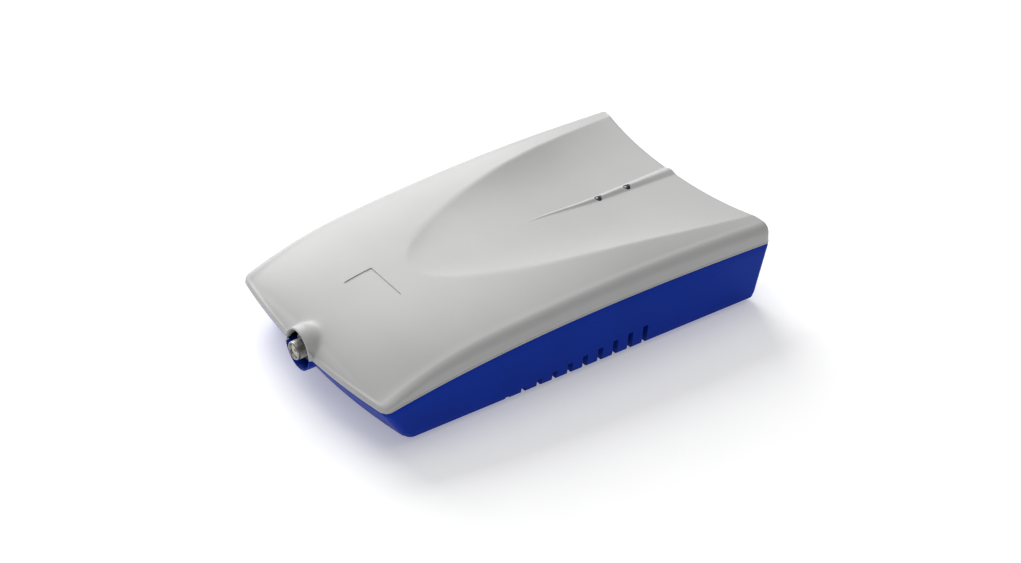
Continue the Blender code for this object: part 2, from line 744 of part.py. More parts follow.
grey = material("cover_grey", (0.50, 0.50, 0.49), 0.45)
blue = material("shell_blue", (0.006, 0.03, 0.22), 0.4)
board_green = material("board_green", (0.01, 0.12, 0.05), 0.45)
nickel = material("nickel", (0.62, 0.60, 0.56), 0.28, 1.0)
tin = material("tinplate", (0.70, 0.71, 0.72), 0.35, 1.0)
gold = material("gold_contact", (0.85, 0.62, 0.25), 0.25, 1.0)
alloy = material("black_alloy", (0.05, 0.05, 0.055), 0.5, 0.6)
black = material("black_plastic", (0.02, 0.02, 0.022), 0.5)
white = material("white_plastic", (0.75, 0.74, 0.70), 0.45)
clear = material("smoked_lens", (0.06, 0.06, 0.065), 0.12)
led_white = material("led_body", (0.80, 0.79, 0.70), 0.4)
silicone = material("thermal_pad_grey", (0.35, 0.38, 0.42), 0.8)
steel = material("screw_steel", (0.55, 0.55, 0.56), 0.35, 1.0)
rubber_black = material("foot_rubber", (0.03, 0.03, 0.03), 0.8)
label_paper = material("label_paper", (0.72, 0.72, 0.70), 0.5)

build_cover(grey)
build_shell(blue)
build_port(nickel, white, gold)
build_board(board_green)
build_tuner(tin, black)
build_processor(black, alloy, silicone)
build_power(alloy, black, tin)
build_ethernet(tin, gold)
build_power_jack(black, gold)
build_reset(black, tin)
build_lights(clear, led_white)
build_fasteners(steel)
build_feet(rubber_black)
build_rating_label(label_paper)
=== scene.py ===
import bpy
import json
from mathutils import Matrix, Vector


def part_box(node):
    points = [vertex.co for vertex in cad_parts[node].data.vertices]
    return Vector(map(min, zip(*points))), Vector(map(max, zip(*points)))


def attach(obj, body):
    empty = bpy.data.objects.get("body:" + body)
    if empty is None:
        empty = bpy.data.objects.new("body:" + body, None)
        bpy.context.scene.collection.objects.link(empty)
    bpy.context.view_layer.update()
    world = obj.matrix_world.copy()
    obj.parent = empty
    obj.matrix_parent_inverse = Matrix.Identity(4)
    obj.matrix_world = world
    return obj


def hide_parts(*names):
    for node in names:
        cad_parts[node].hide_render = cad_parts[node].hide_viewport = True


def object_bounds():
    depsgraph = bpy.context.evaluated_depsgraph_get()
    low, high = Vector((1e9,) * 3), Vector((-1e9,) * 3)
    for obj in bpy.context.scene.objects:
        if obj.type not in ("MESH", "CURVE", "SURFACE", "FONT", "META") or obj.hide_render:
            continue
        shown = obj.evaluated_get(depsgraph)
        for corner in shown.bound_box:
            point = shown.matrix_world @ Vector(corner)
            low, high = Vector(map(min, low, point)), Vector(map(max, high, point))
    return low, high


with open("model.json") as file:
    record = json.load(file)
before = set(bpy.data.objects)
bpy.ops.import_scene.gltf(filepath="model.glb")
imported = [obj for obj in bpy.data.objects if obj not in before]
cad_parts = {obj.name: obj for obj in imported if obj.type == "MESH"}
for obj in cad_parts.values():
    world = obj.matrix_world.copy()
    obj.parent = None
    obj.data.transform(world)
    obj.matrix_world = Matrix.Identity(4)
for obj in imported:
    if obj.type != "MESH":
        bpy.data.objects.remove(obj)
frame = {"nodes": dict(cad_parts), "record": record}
cad_box = [list(corner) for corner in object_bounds()]

import json
import math

import bmesh
import bpy
from mathutils import Matrix, Vector

# Lengths are millimetres in the body's own frame, as the CAD has them: X runs from the
# coaxial end to the indicator end, and Z is up from the underside of the blue shell.
MM = 0.001
GAP = 0.3
WALL = 2.2

# Case plan
HALF_LENGTH = 110.0
HALF_WIDTH = 67.34
WIDTH_TAPER = 0.03
FRONT_BOW = 6.15
BACK_REACH = 1.6
BACK_HOLLOW = 7.1
CORNER_RADIUS = 3.6
CORNER_LEAST = 1.0           # smallest corner radius of an inset outline
CORNER_SHRINK = 0.6          # corner radius lost per mm of inset

# Case heights
SEAM_TERMS = (33.98, 3.99, -6.06, 1.52)
SIDE_RISE = 9.2
FRONT_RISE = 1.3
RIM_DROP = (-54.0, -114.0)
NOSE_START = -72.0
NOSE_POWER = 0.6             # fullness of the nose
DOME_POWER = 3               # flatness of the dome across its width
CROWN = 4.5
CROWN_SWELL = 2.8
SWELL_CENTRE = 48.0
SWELL_REACH = 75.0
BASE_INSET = 3.8
BASE_FRONT = 13.6
BASE_BACK = 4.4
BASE_RADIUS = 1.8            # rounding of the underside's edge

# Scoop, ridge and label recess
SCOOP_TIP = -53.0
SCOOP_TERMS = (29.5, -0.0536)
SCOOP_RISE = 1.2
SCOOP_RISE_RUN = 45.0
SCOOP_FALL = 2.8
SCOOP_FALL_RUN = 65.0
SCOOP_POWER = 3
RIDGE_START = 10.0
RIDGE_END = 112.0
RIDGE_HALF_WIDTH = 4.6
RIDGE_HEIGHT = 1.2
RIDGE_LEAST = 0.05           # least share of its full width
RIDGE_FLANK = 0.8            # share of the half width that slopes
RIDGE_GROWTH = 1.8           # how early it reaches its full height
LABEL_X = (-83.2, -68.0)
LABEL_HALF_WIDTH = 13.3
LABEL_DEPTH = 0.4
LABEL_COLUMNS = 8            # to each side of the middle
LABEL_ROWS = 10

# Coaxial port
PORT_Z = 23.3
TUNNEL_FRONT = -117.6
TUNNEL_BACK = -105.2
TUNNEL_RADIUS = 10.7
TUNNEL_BORE = 9.3
TUNNEL_SIDES = 96
TUNNEL_FLANK = 6             # fall per mm beside the tunnel
TUNNEL_EDGE = 0.4            # half the width of the step beside its mouth
TUNNEL_FADE = 12             # the step forward ends after 1/12 of the length
FLARE_START = 0.5            # the lip's cutter starts this far in front
FLARE_LENGTH = 2.1
FLARE_LIP = 0.2              # thickness left at the mouth
TUNNEL_BLEND = 1.5           # softness of the joint between tunnel and nose
TUNNEL_SINK_FROM = -112.7    # behind this the tunnel's top falls away
TUNNEL_SINK = 0.35           # by this much per mm
BULKHEAD_FRONT = -109.2
BARREL_FRONT = -120.0
BARREL_RADIUS = 4.75
BARREL_HOLE = 5.1
BARREL_HOLE_START = 2        # in front of the bulkhead
BARREL_HOLE_LENGTH = 11
THREAD_PITCH = 0.79          # 32 threads to the inch
THREAD_DEPTH = 0.42
BLOCK_BACK = -92.5           # square block behind the bulkhead
BLOCK_HALF_WIDTH = 6.5
BLOCK_Z = (16.3, 29.5)
BLOCK_BEVEL = 0.6

# Openings in the shell
POST_X = (-84.0, 92.0)
POST_Y = 55.0
POST_RADIUS = 3.5
POST_FOOT = 8.3
POST_SIDES = 32
ROOT = 1.2                   # posts and bosses start this deep in their wall
BOARD_BOSS_TOP = 14.1
BOARD_SCREW_X = (-86.0, 84.0)
BOARD_SCREW_Y = 43.0
SCREW_HOLE = 1.65
SCREW_HOLE_SIDES = 24
COVER_HOLE_LENGTH = 14
SHELL_HOLE_LENGTH = 12
BOARD_HOLE_LOW = 4
BOARD_HOLE_LENGTH = 14
POCKET_RADIUS = 3.2          # for the heads of the case screws
POCKET_LENGTH = 4.0
POCKET_SIDES = 40
FOOT_X = (-72.0, 82.0)
FOOT_Y = 46.0
FOOT_RADIUS = 5.0
FOOT_POCKET_LENGTH = 1.6
SHELL_WALL = 2.4
VENT_COUNT = 10
VENT_FIRST = -41.7
VENT_PITCH = 8.8
VENT_WIDTH = 2.8
VENT_LOW = 1.6
VENT_HIGH = 11.4
VENT_REACH = 9.0
VENT_POWER = 0.8             # how the slots grow in height
LIGHT_X = (56.5, 74.4)
LIGHT_Y = -0.6
LIGHT_RADIUS = 1.8
LIGHT_CUT_LOW = 30
LIGHT_CUT_LENGTH = 30
FUNNEL_DEPTH = 0.5           # dish round each indicator window
FUNNEL_LENGTH = 1.6
FUNNEL_FLARE = 1.1
PANEL_CUT_X = 96.3
PANEL_CUT_LENGTH = 24
POWER_Y = -16.0
POWER_Z = 22.0
POWER_HOLE = 4.6
RESET_Y = -34.0
RESET_Z = 19.3
RESET_HOLE = 1.5
BELOW = -1                   # cutters from underneath start here
ABOVE = 60                   # and those from above end here
OVERCUT = 4                  # reach of a cutter past a wall

# Fineness of the visible skins
FRONT_ROWS = 26              # rows in the nose, then in the rest of the cover
REAR_ROWS = 128
NOSE_SHARE = 0.09
RIDGE_COLUMNS = 10
SCOOP_COLUMNS = 20
STRIP_COLUMNS = 14
RIDGE_BAND = 6.0
SCOOP_BAND = 19.0
SHOULDER = 6.0               # width of the rounded rim at the sides
SHOULDER_FRONT = 0.12        # its share of that along the front edge
SHOULDER_BACK = 0.4          # and along the back edge
SHOULDER_FALL = 0.5          # part of the rim's height that is rounded
SKIRT_DRAFT = 0.4
SHOULDER_STEPS = 8
LIP = 0.9                    # height of the lip over the seam
LIP_SHARE = 0.4              # and its limit as a share of the rim's height
LIP_INSET = 0.3
EDGE_SHARE = 0.8             # where the lip turns over
EDGE_INSET = 0.02
SEAM_BEVEL = 0.25
SHELL_ROWS = 110
SHELL_COLUMNS = 72
FINE_ROWS = 8                # rows and columns beside the shell's corners
FINE_SHARE = 0.018
FINE_COLUMN = 0.012

BODY = "case"
barrel_low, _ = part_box("coax_connector")
shell_low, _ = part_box("bottom_shell")
ORIGIN = Vector((barrel_low[0] - BARREL_FRONT * MM, 0.0, shell_low[2]))
TO_WORLD = Matrix.Translation(ORIGIN) @ Matrix.Scale(MM, 4)


# Shape of the case ----------------------------------------------------------

def smooth_step(f):
    f = max(0.0, min(1.0, f))
    return f * f * (3 - 2 * f)


def seam_height(x):
    s = max(-1.0, min(1.0, x / HALF_LENGTH))
    return sum(term * s ** power for power, term in enumerate(SEAM_TERMS))


def half_width(x):
    return HALF_WIDTH * (1 + WIDTH_TAPER * x / HALF_LENGTH)


def front_edge(v):
    return -HALF_LENGTH - FRONT_BOW * (1 - v * v)


def back_edge(v):
    return HALF_LENGTH + BACK_REACH - BACK_HOLLOW * (1 - v * v)


def crown(x):
    offset = (x - SWELL_CENTRE) / SWELL_REACH
    swell = math.cos(offset * math.pi / 2) ** 2 if abs(offset) < 1 else 0
    return CROWN + CROWN_SWELL * swell


def dome_height(x, y):
    """Top of the cover before the scoop is cut."""
    v = max(-1.0, min(1.0, y / half_width(x)))
    drop = max(0.0, min(1.0, (x - RIM_DROP[0]) / (RIM_DROP[1] - RIM_DROP[0])))
    rim = FRONT_RISE + (SIDE_RISE - FRONT_RISE) * math.cos(drop * math.pi / 2)
    along = (NOSE_START - x) / (NOSE_START - front_edge(v))
    along = max(0.0, min(1.0, along))
    nose = (1 - along * along) ** NOSE_POWER
    middle = FRONT_RISE + nose * (SIDE_RISE - FRONT_RISE + crown(x))
    return seam_height(x) + rim + (middle - rim) * (1 - abs(v) ** DOME_POWER)


def scoop_half_width(x):
    run = max(0.0, x - SCOOP_TIP)
    return math.sqrt(max(0.0, SCOOP_TERMS[0] * run + SCOOP_TERMS[1] * run * run))


def scoop_centre(x):
    tip = dome_height(SCOOP_TIP, 0)
    rise = SCOOP_RISE * smooth_step((x - SCOOP_TIP) / SCOOP_RISE_RUN)
    return tip + rise - SCOOP_FALL * smooth_step(x / SCOOP_FALL_RUN)


def ridge_height(x, y):
    """Long rounded ridge that grows towards the back edge."""
    run = (x - RIDGE_START) / (RIDGE_END - RIDGE_START)
    if run <= 0:
        return 0.0
    wide = RIDGE_HALF_WIDTH * max(RIDGE_LEAST, min(1.0, run))
    reach = abs(y) / wide
    if reach >= 1:
        return 0.0
    flank = min(1.0, (1 - reach) / RIDGE_FLANK)
    return RIDGE_HEIGHT * min(1.0, run * RIDGE_GROWTH) * flank


def scooped_height(x, y):
    """Cover with its scoop and ridge."""
    top = dome_height(x, y)
    if x > SCOOP_TIP:
        depth = dome_height(x, 0) - scoop_centre(x)
        reach = abs(y) / max(scoop_half_width(x), 0.01)
        if reach < 1:
            top -= depth * (1 - reach ** SCOOP_POWER)
        top += ridge_height(x, y)
    return top


def tunnel_height(x, y):
    """Top of the port tunnel, sinking into the nose, with a steep fall beside it."""
    side = abs(y)
    sink = TUNNEL_SINK * max(0.0, x - TUNNEL_SINK_FROM)
    if side < TUNNEL_RADIUS:
        return PORT_Z + math.sqrt(TUNNEL_RADIUS ** 2 - side ** 2) - sink
    return PORT_Z - TUNNEL_FLANK * (side - TUNNEL_RADIUS) - sink


def cover_height(x, y):
    """Visible top: the dome flows softly into the port tunnel."""
    top = scooped_height(x, y)
    if x > NOSE_START:
        return top
    bump = tunnel_height(x, y)
    blended = (top + bump + math.sqrt((top - bump) ** 2 + TUNNEL_BLEND ** 2)) / 2
    lift = min(1.0, max(0.0, TUNNEL_RADIUS * 2 - abs(y)) / TUNNEL_RADIUS)
    return top + (blended - top) * smooth_step(lift)


def front_reach(y):
    """How far the tunnel stands out in front of the bowed front edge."""
    inside = smooth_step((TUNNEL_RADIUS + TUNNEL_EDGE - abs(y)) / (2 * TUNNEL_EDGE))
    edge = front_edge(y / half_width(-HALF_LENGTH))
    return (TUNNEL_FRONT - edge) * inside


def round_corner(p, v, radius):
    """Bend the square corner of the plan grid into an arc."""
    length = 2 * HALF_LENGTH
    front = p < 0.5
    a = (p if front else 1 - p) * length
    b = (1 - abs(v)) * HALF_WIDTH
    if a >= radius or b >= radius:
        return p, v
    u, w = 1 - a / radius, 1 - b / radius
    u, w = u * math.sqrt(1 - w * w / 2), w * math.sqrt(1 - u * u / 2)
    a, b = radius * (1 - u), radius * (1 - w)
    p = a / length if front else 1 - a / length
    return p, math.copysign(1 - b / HALF_WIDTH, v)


def place(p, v, inset):
    """Plan position of a grid point, for an outline moved inward by inset."""
    p, v = round_corner(p, v, max(CORNER_LEAST, CORNER_RADIUS - inset * CORNER_SHRINK))
    start = front_edge(v) + inset * SHOULDER_FRONT
    end = back_edge(v) - inset * SHOULDER_BACK
    x = start + (end - start) * p
    y = v * (half_width(x) - inset)
    x += front_reach(y) * max(0.0, 1 - TUNNEL_FADE * p)
    return x, y


def row_places():
    """Positions along the case, closer together in the nose."""
    nose = [NOSE_SHARE * i / FRONT_ROWS for i in range(FRONT_ROWS)]
    rear = [NOSE_SHARE + (1 - NOSE_SHARE) * i / REAR_ROWS for i in range(REAR_ROWS + 1)]
    return nose + rear


def column_places(p):
    """Positions across one row, with a line along the edge of the scoop."""
    x = -HALF_LENGTH + 2 * HALF_LENGTH * p
    for _ in range(3):
        edge = max(SCOOP_BAND, scoop_half_width(x))
        v = edge / half_width(x)
        x = front_edge(v) + (back_edge(v) - front_edge(v)) * p
    band = RIDGE_BAND / half_width(x)
    half = [band * i / RIDGE_COLUMNS for i in range(RIDGE_COLUMNS)]
    half += [band + (v - band) * i / SCOOP_COLUMNS for i in range(SCOOP_COLUMNS)]
    half += [v + (1 - v) * i / STRIP_COLUMNS for i in range(STRIP_COLUMNS + 1)]
    return [-f for f in reversed(half[1:])] + half


# Mesh helpers ---------------------------------------------------------------

def world_mesh(bm, name):
    bmesh.ops.recalc_face_normals(bm, faces=bm.faces)
    bm.transform(TO_WORLD)
    mesh = bpy.data.meshes.new(name)
    bm.to_mesh(mesh)
    bm.free()
    return mesh


def new_object(name, bm, mat=None):
    item = bpy.data.objects.new(name, world_mesh(bm, name))
    bpy.context.scene.collection.objects.link(item)
    if mat:
        item.data.materials.append(mat)
    return item


def settle(item):
    """Replace an object's mesh with the result of its modifiers."""
    graph = bpy.context.evaluated_depsgraph_get()
    mesh = bpy.data.meshes.new_from_object(item.evaluated_get(graph))
    item.modifiers.clear()
    item.data = mesh


def combine(item, bm, operation="DIFFERENCE"):
    """Join a solid to an object, or by default cut it away."""
    tool = new_object("tool", bm)
    mod = item.modifiers.new("combine", "BOOLEAN")
    mod.operation = operation
    mod.solver = "EXACT"
    mod.object = tool
    settle(item)
    bpy.data.objects.remove(tool, do_unlink=True)


def smooth(item, angle=35.0):
    """Smooth shading with sharp edges above an angle in degrees."""
    for polygon in item.data.polygons:
        polygon.use_smooth = True
    item.data.set_sharp_from_angle(angle=math.radians(angle))


def add_box(bm, low, high):
    size = Vector(high) - Vector(low)
    middle = Matrix.Translation((Vector(low) + Vector(high)) / 2)
    bmesh.ops.create_cube(bm, size=1.0, matrix=middle @ Matrix.Diagonal((*size, 1.0)))


AXES = {"X": Matrix.Rotation(math.pi / 2, 4, "Y"), "Z": Matrix.Identity(4)}


def add_rod(bm, start, length, radius, axis="Z", sides=48, end_radius=None):
    middle = Vector(start) + AXES[axis] @ Vector((0, 0, length / 2))
    bmesh.ops.create_cone(bm, cap_ends=True, segments=sides, radius1=radius,
                          radius2=end_radius or radius, depth=length,
                          matrix=Matrix.Translation(middle) @ AXES[axis])


def rods(places, sides=48):
    """Mesh of rods, each given as start, length, radius and axis."""
    bm = bmesh.new()
    for start, length, radius, axis in places:
        add_rod(bm, start, length, radius, axis, sides)
    return bm


def screw_places(xs, half_y):
    return [(x, y) for x in xs for y in (-half_y, half_y)]


def bridge(bm, ring_a, ring_b):
    """Quads between two closed loops."""
    count = len(ring_a)
    for i in range(count):
        j = (i + 1) % count
        bm.faces.new((ring_a[i], ring_a[j], ring_b[j], ring_b[i]))


def span(bm, grid):
    """Quads between the rows of a grid of vertices."""
    for a, b in zip(grid, grid[1:]):
        for i in range(len(a) - 1):
            bm.faces.new((a[i], a[i + 1], b[i + 1], b[i]))


def border(grid):
    """Edge points of a grid of vertices, in order all the way round."""
    last_row, last_column = len(grid) - 1, len(grid[0]) - 1
    ring = [(0, j) for j in range(last_column)]
    ring += [(i, last_column) for i in range(last_row)]
    ring += [(last_row, j) for j in range(last_column, 0, -1)]
    ring += [(i, 0) for i in range(last_row, 0, -1)]
    return ring


# Top cover ------------------------------------------------------------------

def cover_skin():
    """Outer and inner faces of the cover, joined along the seam."""
    rows = row_places()
    columns = [column_places(p) for p in rows]
    bm = bmesh.new()

    def sheet(inset, drop):
        grid = []
        for p, across in zip(rows, columns):
            line = []
            for v in across:
                x, y = place(p, v, inset)
                line.append(bm.verts.new((x, y, cover_height(x, y) - drop)))
            grid.append(line)
        span(bm, grid)
        return grid

    top = sheet(SHOULDER + SKIRT_DRAFT, 0.0)
    ring_index = border(top)
    edge = [top[i][j] for i, j in ring_index]

    def ring(inset, height):
        """Loop beside the border: height is given the seam and the rim there."""
        loop = []
        for (i, j), rim in zip(ring_index, edge):
            x, y = place(rows[i], columns[i][j], inset)
            loop.append(bm.verts.new((x, y, height(seam_height(x), rim.co.z))))
        return loop

    def arc_height(angle):
        def height(seam, rim):
            return rim - (rim - seam) * SHOULDER_FALL * (1 - math.cos(angle))
        return height

    def lip(seam, rim):
        return min(LIP, (rim - seam) * LIP_SHARE)

    loops = [edge]
    for step in range(1, SHOULDER_STEPS + 1):
        angle = step / SHOULDER_STEPS * math.pi / 2
        inset = SKIRT_DRAFT + SHOULDER * (1 - math.sin(angle))
        loops.append(ring(inset, arc_height(angle)))
    loops.append(ring(LIP_INSET, lambda seam, rim: seam + lip(seam, rim) + GAP / 2))
    loops.append(ring(EDGE_INSET,
                      lambda seam, rim: seam + lip(seam, rim) * EDGE_SHARE + GAP / 2))
    loops.append(ring(0.0, lambda seam, rim: seam + GAP))
    loops.append(ring(SEAM_BEVEL, lambda seam, rim: seam + GAP / 2))
    loops.append(ring(WALL, lambda seam, rim: seam + GAP / 2))
    inner = sheet(WALL + SHOULDER, WALL)
    loops.append([inner[i][j] for i, j in ring_index])
    for a, b in zip(loops, loops[1:]):
        bridge(bm, a, b)
    return bm


def label_tool():
    """Block whose underside follows the dome just below the surface."""
    bm = bmesh.new()
    across = [LABEL_HALF_WIDTH * (j / LABEL_COLUMNS - 1)
              for j in range(2 * LABEL_COLUMNS + 1)]
    along = [LABEL_X[0] + (LABEL_X[1] - LABEL_X[0]) * i / LABEL_ROWS
             for i in range(LABEL_ROWS + 1)]
    grid = [[bm.verts.new((x, y, cover_height(x, y) - LABEL_DEPTH)) for y in across]
            for x in along]
    span(bm, grid)
    lid = bmesh.ops.extrude_face_region(bm, geom=bm.faces[:])
    for vert in lid["geom"]:
        if isinstance(vert, bmesh.types.BMVert):
            vert.co.z = ABOVE
    return bm


def mouth_flare():
    """Cutter that thins the lip of the port tunnel."""
    bm = bmesh.new()
    add_rod(bm, (TUNNEL_FRONT - FLARE_START, 0, PORT_Z), FLARE_LENGTH,
            TUNNEL_RADIUS - FLARE_LIP, "X", TUNNEL_SIDES, TUNNEL_BORE)
    return bm


def cut_port(item):
    """Open the tunnel, the barrel's hole behind it and the tunnel's thin lip."""
    bore = [((TUNNEL_FRONT - OVERCUT, 0, PORT_Z),
             BULKHEAD_FRONT - TUNNEL_FRONT + OVERCUT, TUNNEL_BORE, "X")]
    hole = [((BULKHEAD_FRONT - BARREL_HOLE_START, 0, PORT_Z), BARREL_HOLE_LENGTH,
             BARREL_HOLE, "X")]
    combine(item, rods(bore, TUNNEL_SIDES))
    combine(item, rods(hole))
    combine(item, mouth_flare())


def build_cover(mat):
    """Top cover with its posts, recess, port half, screw holes and windows."""
    cover = new_object("cover_skin", cover_skin(), mat)
    posts = [((x, y, POST_FOOT), dome_height(x, y) - ROOT - POST_FOOT, POST_RADIUS, "Z")
             for x, y in screw_places(POST_X, POST_Y)]
    combine(cover, rods(posts, POST_SIDES), "UNION")
    combine(cover, label_tool())
    cut_port(cover)
    holes = [((x, y, POST_FOOT - 1), COVER_HOLE_LENGTH, SCREW_HOLE, "Z")
             for x, y in screw_places(POST_X, POST_Y)]
    combine(cover, rods(holes, SCREW_HOLE_SIDES))
    combine(cover, rods([((x, LIGHT_Y, LIGHT_CUT_LOW), LIGHT_CUT_LENGTH, LIGHT_RADIUS, "Z")
                         for x in LIGHT_X]))
    bm = bmesh.new()
    for x in LIGHT_X:
        top = cover_height(x, LIGHT_Y)
        add_rod(bm, (x, LIGHT_Y, top - FUNNEL_DEPTH), FUNNEL_LENGTH, LIGHT_RADIUS,
                end_radius=LIGHT_RADIUS + FUNNEL_FLARE)
    combine(cover, bm)
    smooth(cover)
    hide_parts("top_cover")
    return cover


# Bottom shell ---------------------------------------------------------------

def shell_ring(inset, front, back, height):
    """Closed loop of plan points with their heights."""
    rows = [i / SHELL_ROWS for i in range(SHELL_ROWS + 1)]
    fine = [i / FINE_ROWS * FINE_SHARE for i in range(FINE_ROWS)]
    rows = [p for p in rows if FINE_SHARE <= p <= 1 - FINE_SHARE]
    rows = fine + rows + [1 - p for p in reversed(fine)]
    columns = [-1 + 2 * j / SHELL_COLUMNS for j in range(SHELL_COLUMNS + 1)]
    columns += [s * (1 - FINE_COLUMN * k) for s in (-1, 1) for k in (1, 2, 3)]
    columns = sorted(set(columns))
    edge = [(0.0, v) for v in columns[:-1]]
    edge += [(p, 1.0) for p in rows[:-1]]
    edge += [(1.0, v) for v in reversed(columns[1:])]
    edge += [(p, -1.0) for p in reversed(rows[1:])]
    loop = []
    for p, v in edge:
        p, v = round_corner(p, v, CORNER_RADIUS)
        start = front_edge(v) + front + inset
        end = back_edge(v) - back - inset
        x = start + (end - start) * p
        y = v * (half_width(x) - inset)
        loop.append(Vector((x, y, height(x))))
    return loop


def shell_skin():
    """Outer and inner faces of the shell, from the underside up to the seam."""
    front, back = BASE_FRONT - BASE_INSET, BASE_BACK - BASE_INSET
    foot = shell_ring(BASE_INSET, front, back, lambda x: 0.0)
    rim = shell_ring(0.0, 0.0, 0.0, lambda x: seam_height(x) - GAP / 2)

    def wall(f):
        return [a.lerp(b, f) for a, b in zip(foot, rim)]

    loops = []
    for step in range(6):
        angle = step / 5 * math.pi / 2
        loop = shell_ring(BASE_INSET + BASE_RADIUS * (1 - math.sin(angle)), front, back,
                          lambda x: 0.0)
        rise = BASE_RADIUS * (1 - math.cos(angle))
        for point in loop:
            point.z = rise
        loops.append(loop)
    loops += [wall(f) for f in (0.12, 0.25, 0.4, 0.55, 0.7, 0.85, 0.97)]
    loops.append(shell_ring(SEAM_BEVEL, 0.0, 0.0, lambda x: seam_height(x) - GAP / 2))
    loops.append(shell_ring(SHELL_WALL, 0.0, 0.0, lambda x: seam_height(x) - GAP / 2))
    loops.append(shell_ring(BASE_INSET + SHELL_WALL, front - ROOT, back,
                            lambda x: SHELL_WALL))
    bm = bmesh.new()
    rows = [[bm.verts.new(point) for point in loop] for loop in loops]
    for a, b in zip(rows, rows[1:]):
        bridge(bm, a, b)
    bm.faces.new(rows[0])
    bm.faces.new(rows[-1])
    return bm


def lower_tunnel():
    """The tunnel's solid below the seam."""
    split = seam_height(-HALF_LENGTH) - GAP / 2
    bm = rods([((TUNNEL_FRONT, 0, PORT_Z), TUNNEL_BACK - TUNNEL_FRONT,
                TUNNEL_RADIUS, "X")], TUNNEL_SIDES)
    bmesh.ops.bisect_plane(bm, geom=bm.verts[:] + bm.edges[:] + bm.faces[:], dist=0.0001,
                           plane_co=(0, 0, split), plane_no=(0, 0, 1), clear_outer=True)
    bmesh.ops.edgeloop_fill(bm, edges=[e for e in bm.edges if e.is_boundary])
    return bm


def vent_tool():
    """Cutters of the slots in both long sides."""
    bm = bmesh.new()
    for side in (-1, 1):
        for i in range(VENT_COUNT):
            x = VENT_FIRST + VENT_PITCH * i
            top = VENT_LOW + (VENT_HIGH - VENT_LOW) * (i / (VENT_COUNT - 1)) ** VENT_POWER
            ends = sorted((side * (half_width(x) - BASE_INSET - VENT_REACH),
                           side * (half_width(x) + OVERCUT)))
            add_box(bm, (x - VENT_WIDTH / 2, ends[0], BELOW),
                    (x + VENT_WIDTH / 2, ends[1], top))
    return bm


def build_shell(mat):
    """Bottom shell with its bosses, port half, panel openings, pockets and vents."""
    shell = new_object("shell_skin", shell_skin(), mat)
    combine(shell, lower_tunnel(), "UNION")
    bosses = [((x, y, ROOT), POST_FOOT - GAP - ROOT, POST_RADIUS, "Z")
              for x, y in screw_places(POST_X, POST_Y)]
    bosses += [((x, y, ROOT), BOARD_BOSS_TOP - ROOT, POST_RADIUS, "Z")
               for x, y in screw_places(BOARD_SCREW_X, BOARD_SCREW_Y)]
    combine(shell, rods(bosses, POST_SIDES), "UNION")
    cut_port(shell)
    jack_low, jack_high = (TO_WORLD.inverted() @ Vector(c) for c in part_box("ethernet_jack"))
    bm = bmesh.new()
    add_box(bm, (PANEL_CUT_X, jack_low.y - GAP, jack_low.z - GAP),
            (PANEL_CUT_X + PANEL_CUT_LENGTH, jack_high.y + GAP, jack_high.z + GAP))
    combine(shell, bm)
    combine(shell, rods([
        ((PANEL_CUT_X, POWER_Y, POWER_Z), PANEL_CUT_LENGTH, POWER_HOLE, "X"),
        ((PANEL_CUT_X, RESET_Y, RESET_Z), PANEL_CUT_LENGTH, RESET_HOLE, "X")]))
    holes = [((x, y, BELOW), SHELL_HOLE_LENGTH, SCREW_HOLE, "Z")
             for x, y in screw_places(POST_X, POST_Y)]
    holes += [((x, y, BOARD_HOLE_LOW), BOARD_HOLE_LENGTH, SCREW_HOLE, "Z")
              for x, y in screw_places(BOARD_SCREW_X, BOARD_SCREW_Y)]
    combine(shell, rods(holes, SCREW_HOLE_SIDES))
    pockets = [((x, y, BELOW), POCKET_LENGTH, POCKET_RADIUS, "Z")
               for x, y in screw_places(POST_X, POST_Y)]
    pockets += [((x, y, BELOW), FOOT_POCKET_LENGTH, FOOT_RADIUS + GAP, "Z")
                for x, y in screw_places(FOOT_X, FOOT_Y)]
    combine(shell, rods(pockets, POCKET_SIDES))
    combine(shell, vent_tool())
    smooth(shell)
    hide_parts("bottom_shell")
    return shell


# Materials ------------------------------------------------------------------

NOISE_RANGE = (0.3, 0.7)     # the part of a noise's values that is stretched out
CLOUD_SCALE = 45
METAL_GRAIN = 900
METAL_DEPTH = 0.000003
METAL_CLOUD_SCALE = 260

